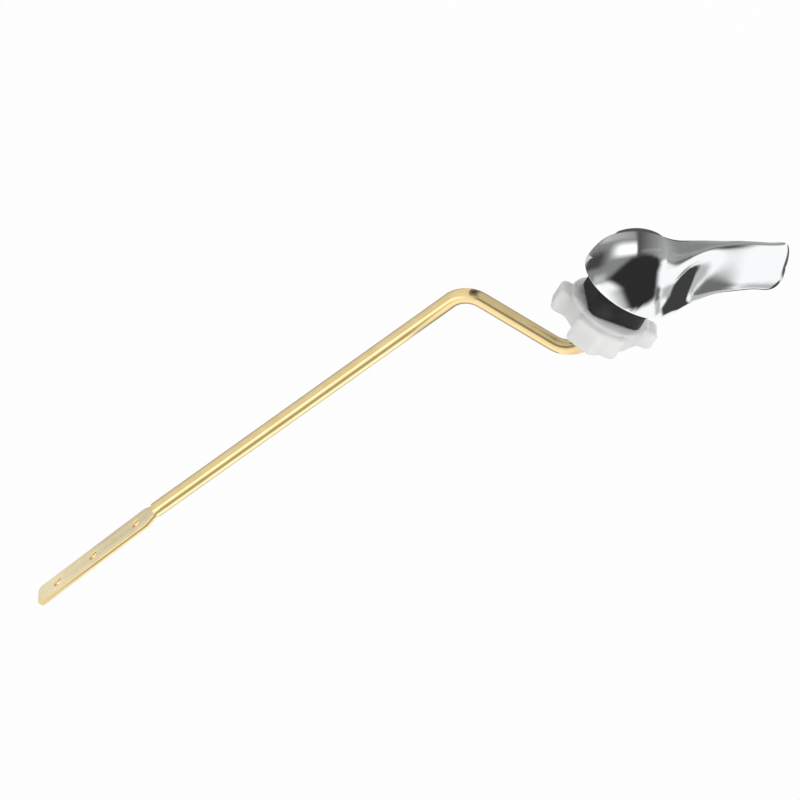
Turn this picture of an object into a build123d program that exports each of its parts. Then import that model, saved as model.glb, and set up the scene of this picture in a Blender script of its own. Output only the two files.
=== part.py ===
"""Side-mounted cistern lever: chrome handle, mounting bush, lobed nut and bent brass lift arm.

Frame: the origin is on the spindle axis, in the plane where the bush's flange seats on the cistern's
outer wall. +Y runs through the wall into the cistern, +Z is up, and the handle's blade points to -X.
"""
from math import cos, pi, radians, sin
import os

from build123d import *

# Lift arm: round rod with two bends and a pressed flat end
ROD_DIAMETER = 6.0
BEND_RADIUS = 11.0
SPINDLE_REACH = 38.2        # from the seat plane to the first bend's corner
CRANK_LENGTH = 50.0         # corner to corner
CRANK_DROOP = 20.8          # degrees below the horizontal
LIFT_LENGTH = 170.0         # from the second bend's corner to the flat
LIFT_SPLAY = 19.7           # degrees between the lift leg and the spindle
FLAT_LENGTH = 68.7
FLAT_RISE = 2.25            # degrees that the flat tips up from the lift leg
FLAT_WIDTH = 10.0
FLAT_THICKNESS = 2.4
FLAT_OFFSET = 0.4           # the press die sets the flat this far back from the rod's axis
FLAT_FLARE = 7.0            # length over which the rod spreads to the flat's width
FLAT_CORNER = 2.6
PRESS_RAMP = 1.0
HOLE_DIAMETER = 3.2
HOLE_FROM_TIP = (11.8, 32.7, 57.6)

# Mounting bush
FLANGE_DIAMETER = 30.0
FLANGE_THICKNESS = 4.0
NECK_SIDE = 22.4
NECK_CORNER = 4.2
NECK_LENGTH = 11.3
SHANK_DIAMETER = 16.0
SHANK_LENGTH = 14.5
SHANK_CHAMFER = 1.0
BEARING_CLEARANCE = 0.06    # radial, rod in bush

# Lobed nut
NUT_ROOT_RADIUS = 14.6
NUT_ROOT_HEIGHT = 9.6
NUT_LOBE_CORNER = 2.0
NUT_COLLAR_DIAMETER = 33.0
NUT_COLLAR_HEIGHT = 1.2
NUT_EDGE = 0.9
THREAD_CLEARANCE = 0.2      # radial, nut on shank
NUT_SEAT_GAP = 0.3          # between the neck's end and the nut

# Handle
HUB_RADIUS = 19.3
HUB_FULLNESS = 0.56         # 0.55 makes the dome's section a true ellipse
HUB_SHIFT = 1.5             # the dome stands this far off the spindle, towards the blade
HUB_HEIGHT = 22.6
RIM_GAP = 0.5               # between the handle's rim and the cistern wall
FLANGE_CLEARANCE = 0.6      # radial, flange in the handle's recess
THRUST_GAP = 0.3
SOCKET_DEPTH = 11.0
SOCKET_CLEARANCE = 0.04
SECTION_POINTS = 24

# Turning stop between the handle and the flange
TRAVEL = 38.0               # degrees
STOP_ANGLE = 90.0           # of the lug at rest, from +X towards +Z
STOP_LUG_WIDTH = 20.0       # degrees
STOP_LUG_DEPTH = 2.4        # along the axis
STOP_WALL = 3.4             # radial depth of the notch in the flange
STOP_SLACK = 1.0            # degrees left at each end of the travel

# Small parts
SCREW_DIAMETER = 5.0
SCREW_LENGTH = 9.0
SCREW_HEX = 2.5
SCREW_HEX_DEPTH = 3.0
SCREW_FROM_RECESS = 5.5
SCREW_CLEARANCE = 0.05
RING_THICKNESS = 1.0
RING_DIAMETER = 11.5
RING_MOUTH = 3.6
GROOVE_DEPTH = 0.6
GROOVE_PLAY = 0.1
RING_GAP = 0.25

# Places along the spindle, worked out from the sizes above
RIM_Y = -RIM_GAP
RECESS_Y = -FLANGE_THICKNESS - THRUST_GAP
SOCKET_Y = RECESS_Y - SOCKET_DEPTH
NUT_Y = NECK_LENGTH + NUT_SEAT_GAP
SHANK_END_Y = NECK_LENGTH + SHANK_LENGTH
RING_Y = SHANK_END_Y + RING_GAP
ROD_RADIUS = ROD_DIAMETER / 2
GROOVE_RADIUS = ROD_RADIUS - GROOVE_DEPTH
RECESS_RADIUS = FLANGE_DIAMETER / 2 + FLANGE_CLEARANCE
SCREW_Y = RECESS_Y - SCREW_FROM_RECESS

# Handle sections from hub to tip: distance from the spindle, section centre in Y, half chord,
# half thickness, tilt of the chord above the outward direction in degrees, squareness
BLADE_SECTIONS = (
    (5.0, -3.2, 15.6, 15.0, 0.0, 2.0),
    (11.0, -6.8, 16.4, 12.4, 4.0, 2.2),
    (16.0, -9.8, 15.4, 9.2, 12.0, 2.8),
    (21.0, -14.0, 13.6, 6.2, 20.0, 3.4),
    (28.0, -20.0, 11.1, 3.7, 26.0, 3.8),
    (37.0, -25.3, 10.1, 2.6, 28.0, 4.0),
    (45.0, -28.9, 9.7, 2.2, 28.0, 4.0),
    (50.0, -30.7, 9.2, 1.9, 28.0, 3.4),
    (52.5, -31.4, 6.8, 1.3, 28.0, 2.8),
)

# Nut lobes: angle from +X towards +Z in degrees, width, tip radius, height along the spindle
NUT_LOBES = (
    (-14.0, 10.4, 20.4, 9.6),
    (58.0, 12.4, 20.4, 10.6),
    (88.0, 10.4, 19.2, 9.6),
    (174.0, 10.4, 21.2, 7.8),
    (234.0, 10.4, 20.4, 9.6),
    (266.0, 10.4, 20.4, 9.6),
)

HANGING = (Align.CENTER, Align.CENTER, Align.MAX)
SEAT = Plane.XZ             # local x is X, local y is Z, and its normal points out of the wall


def at_depth(y):
    """The seat plane moved to a place along the spindle."""
    return SEAT.offset(-y)


def disc(radius, y_start, y_end):
    """A round solid on the spindle axis between two places."""
    return extrude(at_depth(y_end) * Circle(radius), y_end - y_start)


def sector(inner, outer, middle, width):
    """A ring sector in the seat plane, about the spindle."""
    start = middle - width / 2
    edges = [
        Line(polar(inner, start), polar(outer, start)),
        CenterArc((0, 0), outer, start, width),
        Line(polar(outer, start + width), polar(inner, start + width)),
        CenterArc((0, 0), inner, start, width),
    ]
    return make_face(Wire(edges).edges())


def polar(radius, angle):
    """A point in the seat plane by radius and angle in degrees."""
    return (radius * cos(radians(angle)), radius * sin(radians(angle)))


def handle_section(reach, centre_y, half_chord, half_thick, tilt, square):
    """One closed section of the handle, across the blade, as a rounded slab."""
    points = []
    for step in range(SECTION_POINTS):
        turn = 2 * pi * step / SECTION_POINTS
        along = half_chord * abs(cos(turn)) ** (2 / square) * (1 if cos(turn) >= 0 else -1)
        across = half_thick * abs(sin(turn)) ** (2 / square) * (1 if sin(turn) >= 0 else -1)
        y = centre_y + along * cos(radians(tilt)) - across * sin(radians(tilt))
        z = along * sin(radians(tilt)) + across * cos(radians(tilt))
        points.append((-reach, y, z))
    return Face(Wire([Edge.make_spline(points, periodic=True)]))


def make_handle():
    """Hub dome and blade in one casting, recessed for the flange and bored for the rod."""
    with BuildPart() as dome:
        with BuildSketch(Plane.XY):
            with BuildLine():
                apex = RIM_Y - HUB_HEIGHT
                shoulder = (HUB_RADIUS, RIM_Y - HUB_HEIGHT * HUB_FULLNESS)
                crown = (HUB_RADIUS * HUB_FULLNESS, apex)
                Bezier((HUB_RADIUS, RIM_Y), shoulder, crown, (0, apex))
                Line((HUB_RADIUS, RIM_Y), (0, RIM_Y))
                Line((0, RIM_Y), (0, apex))
            make_face()
        revolve(axis=Axis.Y)
    blade = loft([handle_section(*row) for row in BLADE_SECTIONS])
    wall_side = at_depth(RIM_Y + HUB_RADIUS) * Circle(BLADE_SECTIONS[-1][0])
    body = Pos(-HUB_SHIFT, 0, 0) * dome.part + (blade - extrude(wall_side, HUB_RADIUS))
    body -= disc(RECESS_RADIUS, RECESS_Y, RIM_Y)
    body -= disc(ROD_RADIUS + SOCKET_CLEARANCE, SOCKET_Y, RECESS_Y)
    hole_radius = SCREW_DIAMETER / 2 + SCREW_CLEARANCE
    body -= Pos(0, SCREW_Y, 0) * Cylinder(hole_radius, HUB_RADIUS, align=HANGING)
    lug_inner = RECESS_RADIUS - STOP_WALL + FLANGE_CLEARANCE
    lug = sector(lug_inner, RECESS_RADIUS, STOP_ANGLE, STOP_LUG_WIDTH)
    body += extrude(at_depth(RECESS_Y + STOP_LUG_DEPTH) * lug, STOP_LUG_DEPTH)
    return body


def make_bushing():
    """Flange with a stop notch, square neck and threaded shank, bored for the rod."""
    body = disc(FLANGE_DIAMETER / 2, -FLANGE_THICKNESS, 0)
    middle = STOP_ANGLE + TRAVEL / 2
    width = STOP_LUG_WIDTH + TRAVEL + 2 * STOP_SLACK
    notch = sector(FLANGE_DIAMETER / 2 - STOP_WALL, FLANGE_DIAMETER, middle, width)
    body -= extrude(at_depth(-FLANGE_THICKNESS + STOP_LUG_DEPTH) * notch, STOP_LUG_DEPTH)
    neck = at_depth(NECK_LENGTH) * RectangleRounded(NECK_SIDE, NECK_SIDE, NECK_CORNER)
    body += extrude(neck, NECK_LENGTH)
    shank = disc(SHANK_DIAMETER / 2, NECK_LENGTH, SHANK_END_Y)
    body += chamfer(shank.edges().sort_by(Axis.Y)[-1], SHANK_CHAMFER)
    return body - disc(ROD_RADIUS + BEARING_CLEARANCE, -FLANGE_THICKNESS, SHANK_END_Y)


def nut_lobe(angle, width, tip_radius, height):
    """One lobe of the nut, rounded at its tip and eased at both ends."""
    outline = Rot(0, 0, angle) * Pos(tip_radius / 2, 0) * RectangleRounded(tip_radius, width, NUT_LOBE_CORNER)
    lobe = extrude(at_depth(NUT_Y + NUT_COLLAR_HEIGHT + height) * outline, height)
    ends = lobe.faces().sort_by(Axis.Y)
    return chamfer(ends[0].edges() + ends[-1].edges(), NUT_EDGE)


def make_nut():
    """Lobed hand nut with a round collar towards the wall."""
    root_y = NUT_Y + NUT_COLLAR_HEIGHT
    body = disc(NUT_ROOT_RADIUS, root_y, root_y + NUT_ROOT_HEIGHT)
    for lobe in NUT_LOBES:
        body += nut_lobe(*lobe)
    body += disc(NUT_COLLAR_DIAMETER / 2, NUT_Y, root_y)
    return body - disc(SHANK_DIAMETER / 2 + THREAD_CLEARANCE, NUT_Y, root_y + 2 * NUT_ROOT_HEIGHT)


def arm_frame():
    """Corner points of the arm and the directions of its lift leg and pressed flat."""
    crank = Vector(cos(radians(CRANK_DROOP)), 0, -sin(radians(CRANK_DROOP)))
    lift = Vector(0, cos(radians(LIFT_SPLAY)), 0) + crank * sin(radians(LIFT_SPLAY))
    first = Vector(0, SPINDLE_REACH, 0)
    second = first + crank * CRANK_LENGTH
    shoulder = second + lift * LIFT_LENGTH
    upright = (Vector(0, 0, 1) - lift * lift.Z).normalized()
    return first, second, shoulder, lift, upright


def make_arm():
    """Bent rod with a ring groove, and a flat end pressed from it with three hook holes."""
    first, second, shoulder, lift, upright = arm_frame()
    start = Vector(0, SOCKET_Y + THRUST_GAP, 0)
    path = FilletPolyline(start, first, second, shoulder, radius=BEND_RADIUS)
    rod = sweep(Plane(start, x_dir=(1, 0, 0), z_dir=(0, 1, 0)) * Circle(ROD_RADIUS), path=path)
    groove_end = RING_Y + RING_THICKNESS + GROOVE_PLAY
    rod -= disc(ROD_DIAMETER, RING_Y, groove_end) - disc(GROOVE_RADIUS, RING_Y, groove_end)
    side = lift.cross(upright)
    run = lift * cos(radians(FLAT_RISE)) + upright * sin(radians(FLAT_RISE))
    flat_plane = Plane(shoulder - side * FLAT_OFFSET, x_dir=run, z_dir=side)
    low = FLAT_OFFSET - FLAT_THICKNESS / 2
    high = FLAT_OFFSET + FLAT_THICKNESS / 2
    half_flat = FLAT_WIDTH / 2
    with BuildSketch(flat_plane) as outline:
        with BuildLine():
            lower = Spline((0, -ROD_RADIUS), (FLAT_FLARE, -half_flat), tangents=((1, 0), (1, 0)))
            upper = Spline((0, ROD_RADIUS), (FLAT_FLARE, half_flat), tangents=((1, 0), (1, 0)))
            Line(lower @ 0, upper @ 0)
            Line(lower @ 1, (FLAT_LENGTH, -half_flat))
            Line((FLAT_LENGTH, -half_flat), (FLAT_LENGTH, half_flat))
            Line((FLAT_LENGTH, half_flat), upper @ 1)
        make_face()
        fillet(outline.vertices().sort_by(Axis(shoulder, run))[-2:], FLAT_CORNER)
        with Locations(*[(FLAT_LENGTH - place, 0) for place in HOLE_FROM_TIP]):
            Circle(HOLE_DIAMETER / 2, mode=Mode.SUBTRACT)
    plate = extrude(outline.sketch, FLAT_THICKNESS / 2, both=True)
    ramp_plane = Plane(shoulder, x_dir=lift, z_dir=upright)
    corners = ((0, -ROD_RADIUS), (PRESS_RAMP, low), (PRESS_RAMP, high), (0, ROD_RADIUS))
    ramp = ramp_plane * Polygon(*corners, align=None)
    stub = extrude(Plane(shoulder, x_dir=upright, z_dir=lift) * Circle(ROD_RADIUS), PRESS_RAMP)
    return rod + (stub & extrude(ramp, ROD_RADIUS, both=True)) + plate


def make_retaining_ring():
    """Open spring ring that sits in the rod's groove behind the bush."""
    ring = disc(RING_DIAMETER / 2, RING_Y, RING_Y + RING_THICKNESS)
    ring -= disc(GROOVE_RADIUS, RING_Y, RING_Y + RING_THICKNESS)
    middle = Pos(0, RING_Y + RING_THICKNESS / 2, -RING_DIAMETER / 2)
    return ring - middle * Box(RING_MOUTH, RING_THICKNESS, RING_DIAMETER)


def make_set_screw():
    """Socket set screw that fixes the rod in the hub, from below."""
    screw = Cylinder(SCREW_DIAMETER / 2, SCREW_LENGTH, align=HANGING)
    socket = extrude(RegularPolygon(SCREW_HEX / 2, 6, major_radius=False), SCREW_HEX_DEPTH)
    screw -= Pos(0, 0, -SCREW_LENGTH) * socket
    return Pos(0, SCREW_Y, -ROD_RADIUS) * screw


def main():
    parts = {
        "handle": make_handle(),
        "bushing": make_bushing(),
        "nut": make_nut(),
        "arm": make_arm(),
        "retaining_ring": make_retaining_ring(),
        "set_screw": make_set_screw(),
    }
    os.makedirs("parts", exist_ok=True)
    for name, shape in parts.items():
        export_step(shape, f"parts/{name}.step")


main()
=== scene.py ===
"""Looks of a cistern lever: chrome handle, black bush, translucent hand nut and bent brass arm.

Lengths are millimetres and angles degrees, unless a comment says otherwise. Meshes are written in metres.
"""

import math

import bmesh
import bpy
import numpy as np
from mathutils import Matrix, Vector


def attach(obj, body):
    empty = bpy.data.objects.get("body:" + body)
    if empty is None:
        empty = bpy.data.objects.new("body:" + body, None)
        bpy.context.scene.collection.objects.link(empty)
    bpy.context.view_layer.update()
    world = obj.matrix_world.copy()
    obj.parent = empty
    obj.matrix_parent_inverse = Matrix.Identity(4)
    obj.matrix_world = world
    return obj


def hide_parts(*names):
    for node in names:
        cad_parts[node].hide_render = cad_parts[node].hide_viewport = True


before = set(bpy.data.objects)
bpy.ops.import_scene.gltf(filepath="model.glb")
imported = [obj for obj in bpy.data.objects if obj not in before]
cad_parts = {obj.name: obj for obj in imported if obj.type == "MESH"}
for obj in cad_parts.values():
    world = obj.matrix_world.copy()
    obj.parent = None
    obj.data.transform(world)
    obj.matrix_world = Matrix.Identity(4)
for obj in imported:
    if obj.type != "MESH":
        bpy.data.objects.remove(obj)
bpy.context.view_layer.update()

MM = 0.001
# metres within which points become one
MERGE_DISTANCE = 1e-7
EDGE_BREAK = 0.3
HALVINGS = 40

# Handle: dome, blade sections and recess
HUB_RADIUS = 19.3
HUB_SHIFT = 1.5
HUB_HEIGHT = 22.6
RIM_Y = -0.5
RIM_ROUND = 0.45
RIM_ANGLES = (22.5, 45.0, 67.5, 90.0)
RECESS_RADIUS = 15.6
RECESS_Y = -4.3
SOCKET_RADIUS = 3.04
SOCKET_Y = -15.3
SCREW_HOLE_RADIUS = 2.55
SCREW_Y = -9.8
DRILL_Z = -14.0
DRILL_LENGTH = 24.0
DRILL_SIDES = 48
HUB_BLEND = 5.0
TIP_REACH = 51.9
TIP_SLANT = 0.12
TIP_BOW = 0.013
TIP_ROUND = 2.0
# reach, centre_y, half_chord, half_thickness, tilt in degrees, superellipse power
BLADE_SECTIONS = (
    (5.0, -3.2, 15.6, 15.0, 0.0, 2.0),
    (11.0, -6.8, 16.4, 12.4, 4.0, 2.2),
    (16.0, -9.8, 15.4, 9.2, 12.0, 2.8),
    (21.0, -14.0, 13.6, 6.2, 20.0, 3.4),
    (28.0, -20.0, 11.1, 3.7, 26.0, 3.8),
    (37.0, -25.3, 10.0, 2.6, 28.0, 4.0),
    (45.0, -28.9, 9.5, 2.2, 28.0, 4.0),
    (50.0, -30.7, 8.95, 1.9, 28.0, 3.4),
    (52.5, -31.4, 6.8, 1.3, 28.0, 2.8),
)
HANDLE_SHARP = 40.0

# Cage that the handle's mesh grows from, and how it is drawn onto the form
# x, half width at the rim, half width outside, outer y
CAGE_HUB = (
    (15.5, 9.0, 7.0, -10.0),
    (6.5, 18.5, 12.0, -21.0),
    (-6.0, 19.5, 12.0, -23.5),
    (-15.0, 14.0, 9.0, -24.0),
)
CAGE_RIM_ENDS = (18.5, -22.0)
CAGE_END_X = 17.5
CAGE_REACHES = (26.0, 34.0, 43.0, 50.0, TIP_REACH)
CAGE_LEVELS = 5
SMOOTH_ROUNDS = 14
# before, between and after the smoothing
SETTLE_ROUNDS = (8, 2, 4)
SETTLE_LIMIT = 2.0
SLOPE_STEP = 0.01
SLOPE_FLOOR = 0.05
GROWN_FLOOR = 1e-3

# Bush: flange, square neck and threaded shank
BORE_RADIUS = 3.06
FLANGE_RADIUS = 15.0
FLANGE_THICKNESS = 4.0
NOTCH_DEPTH = 2.4
NOTCH_RADIUS = 11.6
NOTCH_FROM, NOTCH_TO = 79.0, 139.0
NECK_SIDE = 22.4
NECK_CORNER = 4.2
NECK_LENGTH = 11.3
NECK_EDGE = 0.5
NECK_EDGE_ANGLES = (30, 60, 90)
# offset of the neck's outline and y, where the neck stands on the flange
NECK_FOOT = ((0.4, 0.0), (0.1, 0.12), (0.0, 0.45))
NECK_FROM_Y = 1.5
NECK_ROWS = 8
SHANK_RADIUS = 8.0
SHANK_END_Y = 25.8
SHANK_CHAMFER = 1.0
BORE_BREAK = 0.25
THREAD_PITCH = 2.0
THREAD_DEPTH = 0.75
THREAD_FLANK = 2.6
THREAD_CREST = 0.15
THREAD_FADE = 1.0
THREAD_RUNOUT = 0.8
BUSH_STEPS = 360
BUSH_ROWS_PER_PITCH = 12
BUSH_SHARP = 50.0

# Nut: collar and lobes
NUT_Y = 11.6
NUT_COLLAR_RADIUS = 16.5
NUT_COLLAR_HEIGHT = 1.2
# inset and rise of the collar's rounded edge
NUT_COLLAR_ROUND = ((0.6, 0.0), (0.18, 0.18), (0.0, 0.6))
# angle from +X towards +Z in degrees, width, tip radius, height along the spindle
NUT_LOBES = (
    (-14.0, 10.4, 20.4, 9.6),
    (58.0, 12.4, 20.4, 10.6),
    (88.0, 10.4, 19.2, 9.6),
    (174.0, 10.4, 21.2, 7.8),
    (234.0, 10.4, 20.4, 9.6),
    (266.0, 10.4, 20.4, 9.6),
)
NUT_ROOT_RADIUS = 14.6
NUT_ROOT_HEIGHT = 9.6
NUT_LOBE_CORNER = 2.4
NUT_EDGE = 1.7
NUT_EDGE_ANGLES = (0, 18, 36, 54, 72, 90)
NUT_INNER_BLEND = 2.4
NUT_LOBE_EASE = 3.0
NUT_FACE_STEP = 1.0
NUT_REACH = 26.0
NUT_BORE_RADIUS = 8.2
NUT_LEAD_IN = 0.9
NUT_MOUTH = (2.4, 1.4)
NUT_STEPS = 600
NUT_ROWS_PER_PITCH = 10
NUT_SHARP = 55.0

# Arm: rod, bends and pressed flat
ROD_RADIUS = 3.0
BEND_RADIUS = 11.0
BEND_STEPS = 28
SPINDLE_REACH = 38.2
CRANK_LENGTH = 50.0
CRANK_DROOP = 20.8
LIFT_LENGTH = 170.0
LIFT_SPLAY = 19.7
FLAT_LENGTH = 68.7
FLAT_RISE = 2.25
FLAT_WIDTH = 10.0
FLAT_THICKNESS = 2.4
FLAT_OFFSET = 0.4
FLAT_FLARE = 7.0
FLAT_CORNER = 2.6
FLAT_EDGE = 0.7
FLAT_FACE_COSINE = 0.97
FLAT_HEEL = (-0.8, 2.2)
FLARE_STEPS = 12
CORNER_STEPS = 10
FLAT_EDGE_STEPS = 3
# grain across and through the flat, per metre
FLAT_GRAIN = (100.0, 30.0)
HOLE_RADIUS = 1.6
HOLES_FROM_TIP = (11.8, 32.7, 57.6)
HOLE_SIDES = 40
PRESS_FROM = 0.5
PRESS_REACHES = (1.0, 4.0)
PRESS_SKIN = 0.05
ROD_START_Y = SOCKET_Y + 0.3
ROD_END_BREAK = 0.4
ROD_STEP = 4.0
ROD_SIDES = 56
GROOVE_RADIUS = 2.4
GROOVE_Y = (26.05, 27.15)
GROOVE_STEP = 0.01
ARM_SHARP = 35.0

# Camera: direction and roll of the photograph's view
VIEW_AZIMUTH = 32.88
VIEW_ELEVATION = 50.87
VIEW_ROLL = 187.49
VIEW_TARGET = Vector((59.83, 72.93, 15.66))
VIEW_DISTANCE = 1700.0
VIEW_LENS = 202.7
SENSOR_WIDTH = 36.0
# metres
VIEW_CLIP = (0.05, 30.0)

# Floor and light
FLOOR_Z = -420.0
FLOOR_HALF = 4000.0
FLOOR_TONE = 0.86
FLOOR_ROUGHNESS = 0.9
FLOOR_WHITE_SHARE = 0.96
WORLD_STRENGTH = 0.55
# name, place, size, watts, target
LAMPS = (
    ("key", (-500, -500, 800), (600, 600), 4.8, (20, 60, 0)),
    ("fill", (700, 200, 600), (600, 600), 2.0, (60, 80, 0)),
)


# Small mesh tools
def linked(name, data):
    """A new object of the data, in the scene."""
    item = bpy.data.objects.new(name, data)
    bpy.context.scene.collection.objects.link(item)
    return item


def shade(mesh, sharp_angle):
    """Smooth shading, apart from edges sharper than the angle."""
    mesh.polygons.foreach_set("use_smooth", [True] * len(mesh.polygons))
    mesh.set_sharp_from_angle(angle=math.radians(sharp_angle))


def mesh_object(name, points, faces, sharp_angle):
    """An object from points in millimetres, with shared points merged and normals outward."""
    mesh = bpy.data.meshes.new(name)
    mesh.from_pydata((np.asarray(points) * MM).tolist(), [], [list(face) for face in faces])
    edit = bmesh.new()
    edit.from_mesh(mesh)
    bmesh.ops.remove_doubles(edit, verts=edit.verts, dist=MERGE_DISTANCE)
    bmesh.ops.recalc_face_normals(edit, faces=edit.faces)
    edit.to_mesh(mesh)
    edit.free()
    shade(mesh, sharp_angle)
    return linked(name, mesh)


def placed(axes, origin):
    """Matrix that stands three axes at an origin in millimetres."""
    matrix = Matrix.Identity(4)
    for column, axis in enumerate(axes):
        matrix.col[column].xyz = axis
    matrix.col[3].xyz = origin * MM
    return matrix


def evaluated(item):
    """The object with its modifiers applied."""
    return item.evaluated_get(bpy.context.evaluated_depsgraph_get())


def eased(share):
    """Smooth step from 0 to 1."""
    share = np.clip(share, 0, 1)
    return share * share * (3 - 2 * share)


def rounding(radius, angle):
    """Inset and rise at an angle of a rounded edge."""
    return radius * (1 - math.cos(math.radians(angle))), radius * math.sin(math.radians(angle))


def bridge(first, second):
    """Quads between two closed loops of point indices."""
    count = len(first)
    return [(first[i], first[(i + 1) % count], second[(i + 1) % count], second[i]) for i in range(count)]


def ladder(rings, count):
    """Quads between each ring of points and the next, one list for each step."""
    rows = [range(k * count, (k + 1) * count) for k in range(rings)]
    return [bridge(low, high) for low, high in zip(rows, rows[1:])]


def spindle_ring(radius, y, angles):
    """Points around the spindle axis, at a radius that may differ by angle."""
    radius = np.broadcast_to(radius, angles.shape)
    height = np.broadcast_to(y, angles.shape)
    return np.stack((radius * np.cos(angles), height, radius * np.sin(angles)), axis=1)


def ring_stack(profile, angles):
    """Points and quads of a closed surface around the spindle through a loop of radii and heights."""
    rings = [spindle_ring(radius, y, angles) for radius, y in profile]
    count = len(angles)
    faces = sum(ladder(len(rings), count), [])
    last = range(len(faces), len(faces) + count)
    return np.concatenate(rings), faces + bridge(last, range(count))


def outline_radius(distance, angles, level, reach):
    """Radius at each angle where a star-shaped outline's distance function meets the level."""
    low = np.zeros_like(angles)
    high = np.full_like(angles, reach)
    for _ in range(HALVINGS):
        middle = (low + high) / 2
        inside = distance(middle * np.cos(angles), middle * np.sin(angles)) < level
        low = np.where(inside, middle, low)
        high = np.where(inside, high, middle)
    return low


def rounded_box(along, across, half_length, half_width, corner):
    """Signed distance to a rectangle with rounded corners."""
    a = np.abs(along) - half_length + corner
    b = np.abs(across) - half_width + corner
    outside = np.hypot(np.maximum(a, 0), np.maximum(b, 0))
    return outside + np.minimum(np.maximum(a, b), 0) - corner


def smooth_union(a, b, blend):
    """The lesser of two distances, with a rounded join."""
    share = np.maximum(blend - np.abs(a - b), 0) / blend
    return np.minimum(a, b) - share * share * blend / 4


def thread_wave(y, angles, start, end):
    """Depth share of a left-hand thread at a height, fading out towards both ends."""
    turn = (y / THREAD_PITCH + angles / math.tau) % 1.0
    wave = np.clip(np.abs(turn - 0.5) * THREAD_FLANK - THREAD_CREST, 0, 1)
    return wave * np.clip(min(y - start, end - y) / THREAD_FADE, 0, 1)


# Handle form
class BladeForm:
    """Natural cubic splines through the blade's sections."""

    def __init__(self, rows):
        table = np.array(rows)
        self.knots = table[:, 0]
        self.values = table[:, 1:]
        step = np.diff(self.knots)
        count = len(self.knots)
        matrix = np.eye(count)
        right = np.zeros((count, self.values.shape[1]))
        for i in range(1, count - 1):
            matrix[i, i - 1:i + 2] = step[i - 1], 2 * (step[i - 1] + step[i]), step[i]
            rise = np.diff(self.values[i - 1:i + 2], axis=0) / step[i - 1:i + 1, None]
            right[i] = 6 * (rise[1] - rise[0])
        self.bends = np.linalg.solve(matrix, right)

    def at(self, reach):
        """Centre, half chord, half thickness, tilt and power at each reach."""
        reach = np.clip(reach, self.knots[0], self.knots[-1])
        i = np.clip(np.searchsorted(self.knots, reach) - 1, 0, len(self.knots) - 2)
        step = (self.knots[i + 1] - self.knots[i])[:, None]
        a = (self.knots[i + 1] - reach)[:, None] / step
        b = 1 - a
        curve = (a ** 3 - a) * self.bends[i] + (b ** 3 - b) * self.bends[i + 1]
        return (a * self.values[i] + b * self.values[i + 1] + curve * step * step / 6).T

    def distance(self, points):
        """Approximate distance of each point to the blade."""
        reach = -points[:, 0]
        centre, chord, thick, tilt, power = self.at(reach)
        cos, sin = np.cos(np.radians(tilt)), np.sin(np.radians(tilt))
        offset = points[:, 1] - centre
        along = offset * cos + points[:, 2] * sin
        across = points[:, 2] * cos - offset * sin
        grown = (np.abs(along / chord) ** power + np.abs(across / thick) ** power) ** (1 / power)
        section = np.hypot(along, across) * (1 - 1 / np.maximum(grown, GROWN_FLOOR))
        to_tip = TIP_REACH + (TIP_SLANT - TIP_BOW * along) * along - reach
        section = -smooth_union(-section, to_tip, TIP_ROUND)
        return np.maximum(section, self.knots[0] - reach)


BLADE = BladeForm(BLADE_SECTIONS)


def handle_distance(points):
    """Approximate distance of each point to the handle's outer form."""
    offset = points + np.array((HUB_SHIFT, -RIM_Y, 0.0))
    around = (offset[:, 0] ** 2 + offset[:, 2] ** 2) / HUB_RADIUS ** 2
    grown = np.sqrt(around + (offset[:, 1] / HUB_HEIGHT) ** 2)
    dome = np.linalg.norm(offset, axis=1) * (1 - 1 / np.maximum(grown, GROWN_FLOOR))
    return smooth_union(dome, BLADE.distance(points), HUB_BLEND)


def handle_slope(points):
    """Slope of the handle's distance at each point."""
    columns = []
    for axis in np.eye(3) * SLOPE_STEP:
        columns.append((handle_distance(points + axis) - handle_distance(points - axis)) / (2 * SLOPE_STEP))
    return np.stack(columns, axis=1)


def settle(points, rim, rounds):
    """Points drawn onto the handle's form, the rim's points within the rim's plane."""
    for _ in range(rounds):
        slope = handle_slope(points)
        slope[rim, 1] = 0
        size = np.maximum((slope ** 2).sum(axis=1), SLOPE_FLOOR)
        step = np.clip(handle_distance(points) / size, -SETTLE_LIMIT, SETTLE_LIMIT)
        points = points - slope * step[:, None]
        points[rim, 1] = RIM_Y - RIM_ROUND
    return points


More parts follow.
